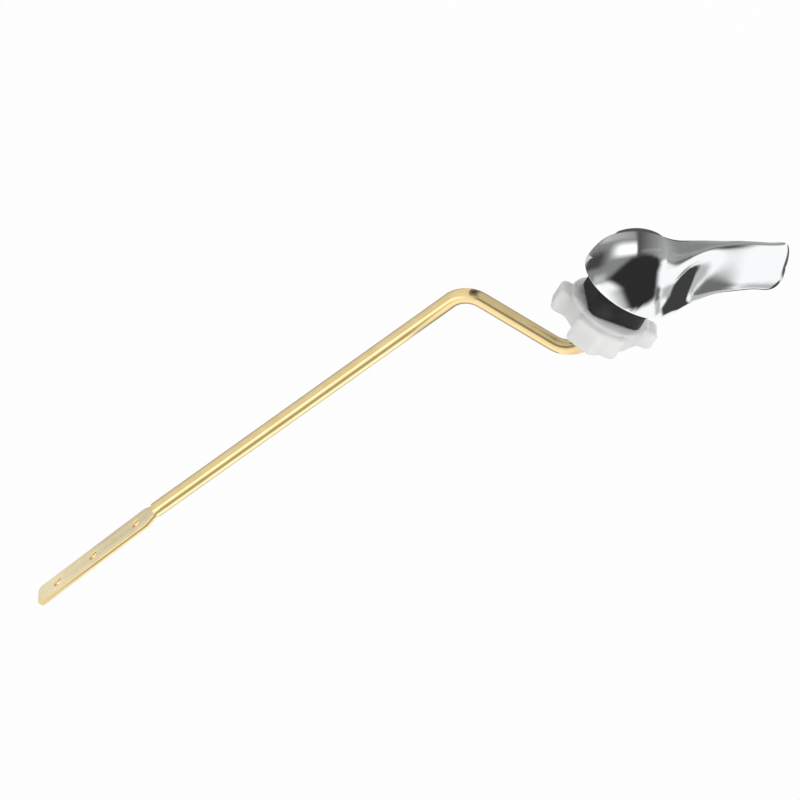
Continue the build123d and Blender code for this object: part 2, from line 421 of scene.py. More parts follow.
def handle_cage():
    """Coarse points and quads: an open hub whose side towards -X runs on into the closed blade."""
    rim = RIM_Y - RIM_ROUND
    rings = []
    for x, wide, narrow, outer in CAGE_HUB:
        middle = (rim + outer) / 2
        rings.append([(x, rim, -wide), (x, middle, -wide), (x, outer, -narrow), (x, outer, 0),
                      (x, outer, narrow), (x, middle, wide), (x, rim, wide), (x, rim, 0)])
    for ring, x in zip((rings[0], rings[-1]), CAGE_RIM_ENDS):
        ring[-1] = (x, rim, 0.0)
    for reach in CAGE_REACHES:
        centre, chord, thick, tilt, _ = (float(v[0]) for v in BLADE.at(np.array([reach])))
        cos, sin = math.cos(math.radians(tilt)), math.sin(math.radians(tilt))
        ring = []
        for a, b in ((1, -1), (0, -1), (-1, -1), (-1, 0), (-1, 1), (0, 1), (1, 1), (1, 0)):
            along, across = a * chord, b * thick
            ring.append((-reach, centre + along * cos - across * sin, along * sin + across * cos))
        rings.append(ring)
    points = [point for ring in rings for point in ring]
    count = len(rings[0])
    faces = []
    for k, quads in enumerate(ladder(len(rings), count)):
        faces += quads if k >= len(CAGE_HUB) - 1 else quads[:-2]
    hub_end = (CAGE_END_X, (rim + CAGE_HUB[0][-1]) / 2, 0.0)
    blade_end = tuple(np.mean(rings[-1], axis=0))
    for first, middle in ((0, hub_end), (len(points) - count, blade_end)):
        heart = len(points)
        points.append(middle)
        for quad in ((0, 1, None, 7), (1, 2, 3, None), (None, 3, 4, 5), (7, None, 5, 6)):
            faces.append(tuple(heart if n is None else first + n for n in quad))
    used = sorted({n for face in faces for n in face})
    place = {n: i for i, n in enumerate(used)}
    return [points[n] for n in used], [tuple(place[n] for n in face) for face in faces]


def subdivided(points, faces, levels):
    """Catmull-Clark points, quads and edges of a cage."""
    mesh = bpy.data.meshes.new("cage")
    mesh.from_pydata(points, [], faces)
    item = linked("cage", mesh)
    item.modifiers.new("subdivide", "SUBSURF").levels = levels
    shown = evaluated(item)
    result = shown.to_mesh()
    found = np.array([v.co[:] for v in result.vertices])
    quads = [tuple(p.vertices) for p in result.polygons]
    edges = np.array([e.vertices[:] for e in result.edges])
    shown.to_mesh_clear()
    bpy.data.objects.remove(item)
    bpy.data.meshes.remove(mesh)
    return found, quads, edges


def boundary_loop(faces):
    """Indices around the open edge of a mesh, in order."""
    seen = set()
    for face in faces:
        for a, b in zip(face, face[1:] + face[:1]):
            if (b, a) in seen:
                seen.remove((b, a))
            else:
                seen.add((a, b))
    follow = dict(seen)
    start = next(iter(sorted(follow)))
    loop = [start]
    while follow[loop[-1]] != start:
        loop.append(follow[loop[-1]])
    return loop


def handle_skin():
    """Points and quads of the outer form, evened out, and the indices around its open rim."""
    cage, cage_faces = handle_cage()
    points, faces, edges = subdivided(cage, cage_faces, CAGE_LEVELS)
    loop = boundary_loop(faces)
    rim = np.zeros(len(points), bool)
    rim[loop] = True
    on_rim = rim[edges].all(axis=1)
    links = np.concatenate((edges[~on_rim], edges[~on_rim][:, ::-1]))
    links = np.concatenate((links[~rim[links[:, 0]]], edges[on_rim], edges[on_rim][:, ::-1]))
    count = np.bincount(links[:, 0], minlength=len(points))[:, None]
    before, between, after = SETTLE_ROUNDS
    points = settle(points, rim, before)
    for _ in range(SMOOTH_ROUNDS):
        total = np.zeros_like(points)
        np.add.at(total, links[:, 0], points[links[:, 1]])
        points = settle((points + total / np.maximum(count, 1)) / 2, rim, between)
    return settle(points, rim, after), faces, loop


def drill_screw_hole(handle):
    """Cuts the set screw's hole into the handle from below."""
    bpy.ops.mesh.primitive_cylinder_add(vertices=DRILL_SIDES, radius=SCREW_HOLE_RADIUS * MM,
                                        depth=DRILL_LENGTH * MM, location=(0, SCREW_Y * MM, DRILL_Z * MM))
    drill = bpy.context.object
    cut = handle.modifiers.new("screw_hole", "BOOLEAN")
    cut.operation, cut.object, cut.solver = "DIFFERENCE", drill, "EXACT"
    mesh = bpy.data.meshes.new_from_object(evaluated(handle))
    handle.modifiers.clear()
    handle.data = mesh
    bpy.data.objects.remove(drill)
    shade(mesh, HANDLE_SHARP)


def make_handle():
    """Seamless hub and blade with a rounded rim, the recess, the rod's socket and the screw's hole."""
    points, faces, loop = handle_skin()
    edge = points[loop]
    outward = handle_slope(edge)
    outward[:, 1] = 0
    outward /= np.linalg.norm(outward, axis=1)[:, None]
    turn = np.arctan2(edge[:, 2], edge[:, 0])
    rings = []
    for angle in RIM_ANGLES:
        inset, rise = rounding(RIM_ROUND, angle)
        rings.append(edge - outward * inset + np.array((0, rise, 0)))
    for radius, mouth, floor in ((RECESS_RADIUS, RIM_Y, RECESS_Y), (SOCKET_RADIUS, RECESS_Y, SOCKET_Y)):
        for wider, y in ((EDGE_BREAK, mouth), (0, mouth - EDGE_BREAK), (0, floor)):
            rings.append(spindle_ring(radius + wider, y, turn))
    last = loop
    for ring in rings:
        fresh = list(range(len(points), len(points) + len(ring)))
        points = np.concatenate((points, ring))
        faces += bridge(last, fresh)
        last = fresh
    faces.append(tuple(last))
    handle = mesh_object("handle_chrome", points, faces, HANDLE_SHARP)
    drill_screw_hole(handle)
    return handle


# Bush and nut
def make_bush():
    """Flange with its stop notch, square neck with softened edges, and a left-hand threaded shank."""
    angles = np.linspace(0, math.tau, BUSH_STEPS, endpoint=False)
    degrees = np.degrees(angles)
    notch = (degrees > NOTCH_FROM) & (degrees < NOTCH_TO)
    flange = np.where(notch, NOTCH_RADIUS, FLANGE_RADIUS)
    notch_floor = NOTCH_DEPTH - FLANGE_THICKNESS
    half = NECK_SIDE / 2

    def square(x, z):
        """Signed distance to the neck's outline."""
        return rounded_box(x, z, half, half, NECK_CORNER)

    def neck(level):
        """Radii of the neck's outline, grown by the level."""
        return outline_radius(square, angles, level, NECK_SIDE)

    profile = [
        (BORE_RADIUS, -FLANGE_THICKNESS),
        (flange - EDGE_BREAK, -FLANGE_THICKNESS),
        (flange, EDGE_BREAK - FLANGE_THICKNESS),
        (flange, notch_floor),
        (FLANGE_RADIUS, notch_floor),
        (FLANGE_RADIUS, -EDGE_BREAK),
        (FLANGE_RADIUS - EDGE_BREAK, 0.0),
    ]
    profile += [(neck(level), y) for level, y in NECK_FOOT]
    neck_edge = NECK_LENGTH - NECK_EDGE
    profile += [(neck(0.0), y) for y in np.linspace(NECK_FROM_Y, neck_edge, NECK_ROWS)]
    for angle in NECK_EDGE_ANGLES:
        inset, rise = rounding(NECK_EDGE, angle)
        profile.append((neck(-inset), neck_edge + rise))
    start, end = NECK_LENGTH, SHANK_END_Y - SHANK_CHAMFER
    for y in np.linspace(start, end, int((end - start) / THREAD_PITCH * BUSH_ROWS_PER_PITCH)):
        depth = THREAD_DEPTH * thread_wave(y, angles, start, end + THREAD_RUNOUT)
        profile.append((SHANK_RADIUS - depth, y))
    profile += [
        (SHANK_RADIUS - SHANK_CHAMFER, SHANK_END_Y),
        (BORE_RADIUS + BORE_BREAK, SHANK_END_Y),
        (BORE_RADIUS, SHANK_END_Y - BORE_BREAK),
    ]
    return mesh_object("bush_black", *ring_stack(profile, angles), BUSH_SHARP)


def nut_distance(x, z):
    """Signed distance to the nut's lobed outline."""
    result = np.hypot(x, z) - NUT_ROOT_RADIUS
    for angle, width, tip, _ in NUT_LOBES:
        cos, sin = math.cos(math.radians(angle)), math.sin(math.radians(angle))
        along = x * cos + z * sin
        across = z * cos - x * sin
        lobe = rounded_box(along - tip / 2, across, tip / 2, width / 2, NUT_LOBE_CORNER)
        result = smooth_union(result, lobe, NUT_INNER_BLEND)
    return result


def nut_height(angles):
    """Height of the nut's far end at each angle, eased from the root to each lobe."""
    height = np.full_like(angles, NUT_ROOT_HEIGHT)
    for angle, width, _, lobe_height in NUT_LOBES:
        turn = np.degrees(angles) - angle
        apart = np.abs((turn + 180) % 360 - 180)
        half = math.degrees(math.atan2(width / 2, NUT_ROOT_RADIUS))
        share = (half + NUT_LOBE_EASE - apart) / (2 * NUT_LOBE_EASE)
        height += (lobe_height - NUT_ROOT_HEIGHT) * eased(share)
    return height


def make_nut():
    """Moulded hand nut: flat collar against the wall, lobes with soft edges and an inner thread."""
    angles = np.linspace(0, math.tau, NUT_STEPS, endpoint=False)
    back = NUT_Y + NUT_COLLAR_HEIGHT
    end = back + nut_height(angles)
    bore_end = back + NUT_ROOT_HEIGHT
    edge = [rounding(NUT_EDGE, angle) for angle in NUT_EDGE_ANGLES]

    def lobes(level):
        """Radii of the lobed outline, grown by the level."""
        return outline_radius(nut_distance, angles, level, NUT_REACH)

    profile = [(NUT_BORE_RADIUS + NUT_LEAD_IN, NUT_Y)]
    profile += [(NUT_COLLAR_RADIUS - inset, NUT_Y + rise) for inset, rise in NUT_COLLAR_ROUND]
    profile.append((NUT_COLLAR_RADIUS, back))
    profile += [(lobes(-inset), back + NUT_EDGE - rise) for inset, rise in reversed(edge)]
    for share in (0.25, 0.5, 0.75):
        profile.append((lobes(0.0), back + NUT_EDGE + (end - back - 2 * NUT_EDGE) * share))
    profile += [(lobes(-inset), end - NUT_EDGE + rise) for inset, rise in edge]
    profile.append((lobes(-NUT_EDGE - NUT_FACE_STEP), end))
    profile += [(NUT_BORE_RADIUS + wider, bore_end) for wider in NUT_MOUTH]
    rows = int((bore_end - NUT_Y - 2 * THREAD_RUNOUT) / THREAD_PITCH * NUT_ROWS_PER_PITCH)
    for y in np.linspace(bore_end - THREAD_RUNOUT, NUT_Y + THREAD_RUNOUT, rows):
        depth = THREAD_DEPTH * (1 - thread_wave(y, angles, NUT_Y, bore_end))
        profile.append((NUT_BORE_RADIUS + depth, y))
    return mesh_object("nut_white", *ring_stack(profile, angles), NUT_SHARP)


# Arm
def arm_frame():
    """Corner points and directions of the bent rod."""
    droop, splay = math.radians(CRANK_DROOP), math.radians(LIFT_SPLAY)
    crank = Vector((math.cos(droop), 0, -math.sin(droop)))
    lift = Vector((0, math.cos(splay), 0)) + crank * math.sin(splay)
    first = Vector((0, SPINDLE_REACH, 0))
    second = first + crank * CRANK_LENGTH
    shoulder = second + lift * LIFT_LENGTH
    side = Vector((lift.y, -lift.x, 0)).normalized()
    upright = side.cross(lift)
    return first, second, shoulder, lift, side, upright


def rod_path(corners):
    """Points along straight legs joined by arcs of the bend radius."""
    path = [corners[0]]
    for before, corner, after in zip(corners, corners[1:], corners[2:]):
        came, goes = (corner - before).normalized(), (after - corner).normalized()
        turn = came.angle(goes)
        trim = BEND_RADIUS * math.tan(turn / 2)
        inward = (goes - came * came.dot(goes)).normalized()
        centre = corner - came * trim + inward * BEND_RADIUS
        for i in range(BEND_STEPS + 1):
            angle = turn * i / BEND_STEPS
            sideways = inward * BEND_RADIUS * math.cos(angle)
            onward = came * BEND_RADIUS * math.sin(angle)
            path.append(centre - sideways + onward)
    path.append(corners[-1])
    return path


def even_path(path, step):
    """The path with its straight legs divided into short lengths."""
    result = [path[0]]
    for a, b in zip(path, path[1:]):
        parts = max(1, int((b - a).length / step))
        result += [a.lerp(b, (i + 1) / parts) for i in range(parts)]
    return result


def tube_rings(path, count):
    """Circles around each point of a path, without twist."""
    rings = []
    turns = [math.tau * k / count for k in range(count)]
    across = Vector((1, 0, 0))
    for i, (here, radius) in enumerate(path):
        ahead = path[min(i + 1, len(path) - 1)][0]
        behind = path[max(i - 1, 0)][0]
        tangent = (ahead - behind).normalized()
        across = (across - tangent * across.dot(tangent)).normalized()
        other = tangent.cross(across)
        rings.append([here + (across * math.cos(t) + other * math.sin(t)) * radius for t in turns])
    return rings


def flat_outline():
    """Corner points of the pressed flat in its own plane, from the shoulder to the rounded tip."""
    half = FLAT_WIDTH / 2
    edge = [FLAT_HEEL]
    for i in range(FLARE_STEPS + 1):
        share = i / FLARE_STEPS
        edge.append((share * FLAT_FLARE, ROD_RADIUS + (half - ROD_RADIUS) * eased(share)))
    for i in range(CORNER_STEPS + 1):
        angle = math.radians(90 - 90 * i / CORNER_STEPS)
        x = FLAT_LENGTH - FLAT_CORNER * (1 - math.cos(angle))
        edge.append((x, half - FLAT_CORNER * (1 - math.sin(angle))))
    return [(x, -y) for x, y in edge] + [(x, y) for x, y in reversed(edge)]


def flat_plate():
    """Mesh of the pressed flat with softened edges and real holes, in its own plane."""
    curve = bpy.data.curves.new("flat", "CURVE")
    curve.dimensions, curve.fill_mode = "2D", "BOTH"
    curve.extrude = (FLAT_THICKNESS / 2 - FLAT_EDGE) * MM
    curve.bevel_depth = FLAT_EDGE * MM
    curve.bevel_resolution = FLAT_EDGE_STEPS
    curve.offset = -FLAT_EDGE * MM
    turns = [-math.tau * k / HOLE_SIDES for k in range(HOLE_SIDES)]
    outlines = [flat_outline()]
    for from_tip in HOLES_FROM_TIP:
        centre = FLAT_LENGTH - from_tip
        outlines.append([(centre + HOLE_RADIUS * math.cos(t), HOLE_RADIUS * math.sin(t)) for t in turns])
    for outline in outlines:
        spline = curve.splines.new("POLY")
        spline.points.add(len(outline) - 1)
        for point, (x, y) in zip(spline.points, outline):
            point.co = (x * MM, y * MM, 0, 1)
        spline.use_cyclic_u = True
    item = linked("flat", curve)
    mesh = bpy.data.meshes.new_from_object(evaluated(item))
    bpy.data.objects.remove(item)
    return mesh


def make_rod(first, second, shoulder, lift, side):
    """The bent rod with its ring groove, thinned where it runs into the flat."""
    start = Vector((0, ROD_START_Y, 0))
    bends = rod_path([start, first, second, shoulder])
    path = [(start, ROD_RADIUS - ROD_END_BREAK), (start + Vector((0, ROD_END_BREAK, 0)), ROD_RADIUS)]
    for y, radii in zip(GROOVE_Y, ((ROD_RADIUS, GROOVE_RADIUS), (GROOVE_RADIUS, ROD_RADIUS))):
        path += [(Vector((0, y, 0)), radii[0]), (Vector((0, y + GROOVE_STEP, 0)), radii[1])]
    path += [(point, ROD_RADIUS) for point in even_path(bends[1:], ROD_STEP)]
    path += [(shoulder + lift * reach, ROD_RADIUS) for reach in PRESS_REACHES]
    rings, count = tube_rings(path, ROD_SIDES), ROD_SIDES
    low = -FLAT_OFFSET - FLAT_THICKNESS / 2 + PRESS_SKIN
    high = -FLAT_OFFSET + FLAT_THICKNESS / 2 - PRESS_SKIN
    points = []
    for point in sum(rings, []):
        if (point - shoulder).dot(lift) > PRESS_FROM:
            aside = (point - shoulder).dot(side)
            point = point + side * (min(max(aside, low), high) - aside)
        points.append(point)
    faces = sum(ladder(len(rings), count), [])
    faces += [tuple(range(count)), tuple(range(len(points) - count, len(points)))]
    return mesh_object("arm_brass", [point[:] for point in points], faces, ARM_SHARP)


def make_arm():
    """Drawn rod with two bends and a ring groove, pressed into a flat with three holes."""
    first, second, shoulder, lift, side, upright = arm_frame()
    arm = make_rod(first, second, shoulder, lift, side)
    run = lift * math.cos(math.radians(FLAT_RISE)) + upright * math.sin(math.radians(FLAT_RISE))
    place = placed((run, side.cross(run), side), shoulder - side * FLAT_OFFSET)
    plate = flat_plate()
    plate.transform(place)
    edit = bmesh.new()
    edit.from_mesh(arm.data)
    rod_faces, rod_points = len(edit.faces), len(edit.verts)
    edit.from_mesh(plate)
    edit.verts.ensure_lookup_table()
    bmesh.ops.remove_doubles(edit, verts=edit.verts[rod_points:], dist=MERGE_DISTANCE)
    edit.faces.ensure_lookup_table()
    pressed = set(edit.faces[rod_faces:])
    bmesh.ops.recalc_face_normals(edit, faces=edit.faces)
    for face in pressed:
        face.material_index = int(abs(face.normal.dot(side)) > FLAT_FACE_COSINE)
    grain = edit.loops.layers.uv.new("grain")
    back = place.inverted()
    across, through = FLAT_GRAIN
    for face in edit.faces:
        for loop in face.loops:
            if face in pressed:
                spot = back @ loop.vert.co
                loop[grain].uv = (spot.y * across + spot.z * through, spot.x)
            else:
                loop[grain].uv = arm_grain(loop.vert.co / MM, first, second, lift)
    edit.to_mesh(arm.data)
    edit.free()
    shade(arm.data, ARM_SHARP)
    return arm


def arm_grain(spot, first, second, lift):
    """Place around and along the rod, so that drawing lines run along each leg."""
    if spot.y < first.y - BEND_RADIUS:
        return math.atan2(spot.z, spot.x), spot.y * MM
    crank = (second - first).normalized()
    along_crank = (spot - first).dot(crank)
    if spot.y < first.y + BEND_RADIUS and along_crank < (second - first).length - BEND_RADIUS:
        offset = spot - first - crank * along_crank
        return math.atan2(offset.y, offset.z), along_crank * MM
    along_lift = (spot - second).dot(lift)
    offset = spot - second - lift * along_lift
    return math.atan2(offset.z, offset.x), along_lift * MM


# Materials
NOISE_RANGE = (0.3, 0.7)
# clouds in plastic are this many times larger than its fine surface
CLOUD_SIZE = 20
# metres
PLASTIC_RELIEF = 0.00002


def new_material(name, metallic=0.0):
    """A material, its node tree and its main shader."""
    material = bpy.data.materials.new(name)
    material.use_nodes = True
    shader = material.node_tree.nodes["Principled BSDF"]
    shader.inputs["Metallic"].default_value = metallic
    return material, material.node_tree, shader


def noise(tree, vector, scale, detail=4.0):
    """Noise texture on the given vector socket; returns its factor socket."""
    node = tree.nodes.new("ShaderNodeTexNoise")
    node.inputs["Scale"].default_value = scale
    node.inputs["Detail"].default_value = detail
    tree.links.new(vector, node.inputs["Vector"])
    return node.outputs["Fac"]


def spread(tree, value, low, high):
    """The noise value, mapped from its usual range to low and high."""
    node = tree.nodes.new("ShaderNodeMapRange")
    for label, number in zip(("From Min", "From Max", "To Min", "To Max"), (*NOISE_RANGE, low, high)):
        node.inputs[label].default_value = number
    tree.links.new(value, node.inputs["Value"])
    return node.outputs["Result"]


def blend_colour(tree, factor, first, second):
    """Mix of two colours by a factor socket."""
    node = tree.nodes.new("ShaderNodeMix")
    node.data_type = "RGBA"
    tree.links.new(factor, node.inputs["Factor"])
    node.inputs["A"].default_value = (*first, 1)
    node.inputs["B"].default_value = (*second, 1)
    return node.outputs["Result"]


def bump(tree, shader, height, strength, distance):
    """Bump of a height socket on the shader."""
    node = tree.nodes.new("ShaderNodeBump")
    node.inputs["Strength"].default_value = strength
    node.inputs["Distance"].default_value = distance
    tree.links.new(height, node.inputs["Height"])
    tree.links.new(node.outputs["Normal"], shader.inputs["Normal"])


def object_vector(tree):
    """Socket of the place in the object's own axes."""
    return tree.nodes.new("ShaderNodeTexCoord").outputs["Object"]


def computed(tree, operation, first, second):
    """Result of an operation on two sockets, kept from 0 to 1."""
    node = tree.nodes.new("ShaderNodeMath")
    node.operation = operation
    node.use_clamp = True
    tree.links.new(first, node.inputs[0])
    tree.links.new(second, node.inputs[1])
    return node.outputs["Value"]


def attribute(tree, name):
    """Socket of a value that the mesh holds at its points."""
    node = tree.nodes.new("ShaderNodeAttribute")
    node.attribute_name = name
    return node.outputs["Fac"]


def stretched(tree, vector, scale):
    """The vector with its axes scaled, for grain that runs one way."""
    node = tree.nodes.new("ShaderNodeMapping")
    node.inputs["Scale"].default_value = scale
    tree.links.new(vector, node.inputs["Vector"])
    return node.outputs["Vector"]


def finish_with(tree, shader, colour, roughness):
    """Joins the colour and roughness sockets to the shader."""
    tree.links.new(colour, shader.inputs["Base Color"])
    tree.links.new(roughness, shader.inputs["Roughness"])


def chrome_material():
    """Polished plate with a faint haze."""
    material, tree, shader = new_material("chrome_plate", metallic=1.0)
    haze = noise(tree, object_vector(tree), scale=60.0)
    colour = blend_colour(tree, haze, (0.92, 0.93, 0.94), (0.96, 0.97, 0.98))
    finish_with(tree, shader, colour, spread(tree, haze, low=0.035, high=0.075))
    return material


def brass_material(name, light, dark, smooth, rough, lines, relief):
    """Brass with fine lines along its grain and faint stains; the relief is in metres."""
    material, tree, shader = new_material(name, metallic=1.0)
    node = tree.nodes.new("ShaderNodeUVMap")
    node.uv_map = "grain"
    grain = noise(tree, stretched(tree, node.outputs["UV"], lines), scale=1.0, detail=3.0)
    stain = noise(tree, object_vector(tree), scale=140.0, detail=6.0)
    colour = blend_colour(tree, spread(tree, stain, low=0, high=1), dark, light)
    finish_with(tree, shader, colour, spread(tree, grain, smooth, rough))
    bump(tree, shader, grain, strength=0.25, distance=relief)
    return material


def plastic_material(name, first, second, smooth, rough, scale):
    """Moulded plastic with a fine surface and a cloudy colour, and its shader."""
    material, tree, shader = new_material(name)
    place = object_vector(tree)
    cloud = noise(tree, place, scale=scale / CLOUD_SIZE)
    fine = noise(tree, place, scale=scale)
    colour = blend_colour(tree, spread(tree, cloud, low=0, high=1), first, second)
    finish_with(tree, shader, colour, spread(tree, fine, smooth, rough))
    bump(tree, shader, fine, strength=0.3, distance=PLASTIC_RELIEF)
    return material, shader


def steel_material():
    """Plain spring steel."""
    material, tree, shader = new_material("spring_steel", metallic=1.0)
    fine = noise(tree, object_vector(tree), scale=900.0)
    colour = blend_colour(tree, fine, (0.34, 0.35, 0.36), (0.5, 0.5, 0.5))
    finish_with(tree, shader, colour, spread(tree, fine, low=0.25, high=0.45))
    return material


def paint(item, material):
    """Makes this the object's only material."""
    item.data.materials.clear()
    item.data.materials.append(material)


# Pieces of the object
handle = make_handle()
bush = make_bush()
nut = make_nut()
arm = make_arm()

black, black_shader = plastic_material(
    "black_plastic", (0.010, 0.010, 0.010), (0.034, 0.034, 0.035), smooth=0.48, rough=0.66, scale=2600.0)
black_shader.inputs["Specular IOR Level"].default_value = 0.3
white, white_shader = plastic_material(
    "natural_plastic", (0.77, 0.77, 0.76), (0.84, 0.84, 0.83), smooth=0.28, rough=0.42, scale=900.0)
white_shader.inputs["Subsurface Weight"].default_value = 1.0
white_shader.inputs["Subsurface Radius"].default_value = (1.0, 1.0, 0.95)
white_shader.inputs["Subsurface Scale"].default_value = 0.006
rod_brass = brass_material(
    "brass", (0.85, 0.68, 0.36), (0.79, 0.61, 0.30), smooth=0.14, rough=0.22,
    lines=(14.0, 30.0, 1.0), relief=0.00003)
flat_brass = brass_material(
    "brass_pressed", (0.90, 0.79, 0.53), (0.82, 0.71, 0.45), smooth=0.36, rough=0.50,
    lines=(3.0, 60.0, 1.0), relief=0.000014)
steel = steel_material()

paint(handle, chrome_material())
paint(bush, black)
paint(nut, white)
for material in (rod_brass, flat_brass):
    arm.data.materials.append(material)
for name in ("retaining_ring", "set_screw"):
    paint(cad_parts[name], steel)

for piece, body, node, slot in (
    (handle, "lever", "handle", "chrome_plate"),
    (arm, "lever", "arm", "brass"),
    (bush, "bushing", "bushing", "black_plastic"),
    (nut, "nut", "nut", "natural_plastic"),
):
    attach(piece, body)
    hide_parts(node)


# Floor, light and camera
def white_for_view(tree, lit_shader, output, share, plain_node):
    """Shows a share of plain white to camera, glossy and transmission rays, and the lit shader otherwise."""
    paths = tree.nodes.new("ShaderNodeLightPath")
    seen = paths.outputs["Is Camera Ray"]
    for ray in ("Is Glossy Ray", "Is Transmission Ray"):
        seen = computed(tree, "MAXIMUM", seen, paths.outputs[ray])
    scaled = tree.nodes.new("ShaderNodeMath")
    scaled.operation = "MULTIPLY"
    scaled.inputs[1].default_value = share
    tree.links.new(seen, scaled.inputs[0])
    plain = tree.nodes.new(plain_node)
    plain.inputs["Color"].default_value = (1, 1, 1, 1)
    plain.inputs["Strength"].default_value = 1.0
    mix = tree.nodes.new("ShaderNodeMixShader")
    tree.links.new(scaled.outputs["Value"], mix.inputs["Fac"])
    tree.links.new(lit_shader, mix.inputs[1])
    tree.links.new(plain.outputs[0], mix.inputs[2])
    tree.links.new(mix.outputs["Shader"], output)


def make_floor():
    """White floor far below the object."""
    half = FLOOR_HALF * MM
    corners = [(-half, -half), (half, -half), (half, half), (-half, half)]
    mesh = bpy.data.meshes.new("floor")
    mesh.from_pydata([(x, y, FLOOR_Z * MM) for x, y in corners], [], [(0, 1, 2, 3)])
    floor = linked("floor", mesh)
    material, tree, shader = new_material("floor")
    shader.inputs["Base Color"].default_value = (FLOOR_TONE, FLOOR_TONE, FLOOR_TONE, 1)
    shader.inputs["Roughness"].default_value = FLOOR_ROUGHNESS
    output = tree.nodes["Material Output"].inputs["Surface"]
    white_for_view(tree, shader.outputs["BSDF"], output, FLOOR_WHITE_SHARE, "ShaderNodeEmission")
    mesh.materials.append(material)


def make_world():
    """White surroundings that light the object softly."""
    world = bpy.data.worlds.new("studio")
    bpy.context.scene.world = world
    world.use_nodes = True
    tree = world.node_tree
    lit = tree.nodes["Background"]
    lit.inputs["Color"].default_value = (1, 1, 1, 1)
    lit.inputs["Strength"].default_value = WORLD_STRENGTH
    output = tree.nodes["World Output"].inputs["Surface"]
    white_for_view(tree, lit.outputs["Background"], output, 1.0, "ShaderNodeBackground")


def make_lamp(name, place, size, watts, target):
    """Rectangular lamp that shines from a place to a target, and that reflections don't see."""
    data = bpy.data.lights.new(name, "AREA")
    data.shape = "RECTANGLE"
    data.size, data.size_y = size[0] * MM, size[1] * MM
    data.energy = watts
    lamp = linked(name, data)
    shine = (Vector(target) - Vector(place)).normalized()
    turned = shine.to_track_quat("-Z", "Y").to_matrix().to_4x4()
    lamp.matrix_world = Matrix.Translation(Vector(place) * MM) @ turned
    lamp.visible_glossy = False


def view_axes():
    """Right, up and backward directions of the photograph's view."""
    azimuth, elevation, roll = (math.radians(a) for a in (VIEW_AZIMUTH, VIEW_ELEVATION, VIEW_ROLL))
    away = Vector((math.sin(azimuth), -math.cos(azimuth), 0))
    back = away * math.cos(elevation) + Vector((0, 0, math.sin(elevation)))
    level = Vector((math.cos(azimuth), math.sin(azimuth), 0))
    rise = back.cross(level)
    up = rise * math.cos(roll) + level * math.sin(roll)
    return up.cross(back), up, back


VIEW_RIGHT, VIEW_UP, VIEW_BACK = view_axes()


def make_camera():
    """The photograph's camera."""
    data = bpy.data.cameras.new("camera")
    data.lens, data.sensor_width = VIEW_LENS, SENSOR_WIDTH
    data.clip_start, data.clip_end = VIEW_CLIP
    camera = linked("camera", data)
    camera.matrix_world = placed((VIEW_RIGHT, VIEW_UP, VIEW_BACK), VIEW_TARGET + VIEW_BACK * VIEW_DISTANCE)
    bpy.context.scene.camera = camera


# Painted reflections: glowing and dark cards that only reflections see, so they neither light nor shade the
# object
# A sphere is a centre and the distance at which its cards stand; each next card stands a little nearer
CARD_STEPS = 32
CARD_SPACING = 0.2
FLAG_STEP = 2.0
TUNNEL_STEP = 3.0
HUB_SPHERE = (Vector((-2.0, -10.0, 5.0)), 70.0)
FAR_SPHERE = (HUB_SPHERE[0], 100.0)
ROOT_SPHERE = (Vector((-24.7, -15.3, 5.9)), 55.0)
TIP_SPHERE = (Vector((-46.0, -29.5, 2.0)), 75.0)
# name, corners (left low, right low, right high, left high) as degrees right of and above the view's line,
# brightness of the painted reflection at the left and right, share of the card that fades at the left, right,
# low and high side
PAINTED_REFLECTION_CARDS = (
    ("grey_tent", ((-138, -14), (34, -8), (42, 128), (-128, 128)), (0.24, 0.24), (0.0, 0.04, 0.1, 0.0)),
    ("grey_top", ((-110, 84), (-4, 82), (-4, 128), (-104, 128)), (0.6, 0.3), (0.3, 0.02, 0.4, 0.2)),
    ("grey_high", ((-8, 36), (74, 34), (112, 122), (-8, 128)), (0.035, 0.46), (0.12, 0.06, 0.1, 0.0)),
    ("pale_streak", ((2, 48), (62, 54), (66, 72), (2, 62)), (0.16, 0.42), (0.2, 0.2, 0.45, 0.45)),
    ("bright_patch", ((-68, 34), (0, 40), (0, 92), (-68, 92)), (1.3, 1.3), (0.5, 0.1, 0.35, 0.55)),
    ("dark_left", ((-126, 14), (-58, 20), (-58, 78), (-112, 86)), (0.06, 0.06), (0.15, 0.45, 0.25, 0.5)),
    ("pale_left", ((-94, -12), (-58, -8), (-56, 20), (-94, 16)), (0.6, 0.4), (0.3, 0.4, 0.3, 0.5)),
    ("soft_box", ((-48, -66), (4, -58), (-24, -11), (-76, -18)), (1.3, 0.0), (0.05, 0.0, 0.05, 0.3)),
)
